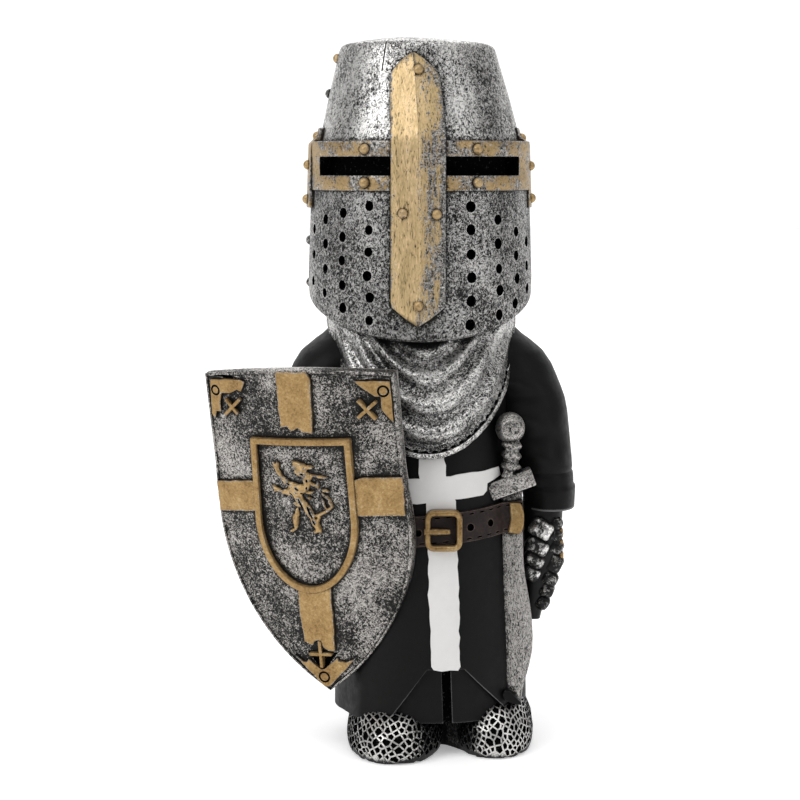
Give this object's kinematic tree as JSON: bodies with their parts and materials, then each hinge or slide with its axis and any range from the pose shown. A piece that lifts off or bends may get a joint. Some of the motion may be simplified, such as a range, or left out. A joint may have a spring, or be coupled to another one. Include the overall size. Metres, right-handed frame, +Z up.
{
  "type": "knight statue",
  "caption": "Small cast figure of a helmed knight in a black surcoat with a heater shield and a sheathed sword, standing on its own soles.",
  "frame": {"origin": "under the middle of the two soles, on the flat underside", "axes": "+Z up, the figure's front faces -Y, +X to the right of a viewer in front, on the sword's side"},
  "size_m": [0.0784, 0.057, 0.15],
  "materials": {
    "painted_resin": "painted resin: black ground with silver dry brushing, gold trim, white cross and brown belt"
  },
  "bodies": {
    "root": {"knight_statue": "painted_resin"}
  },
  "joints": []
}
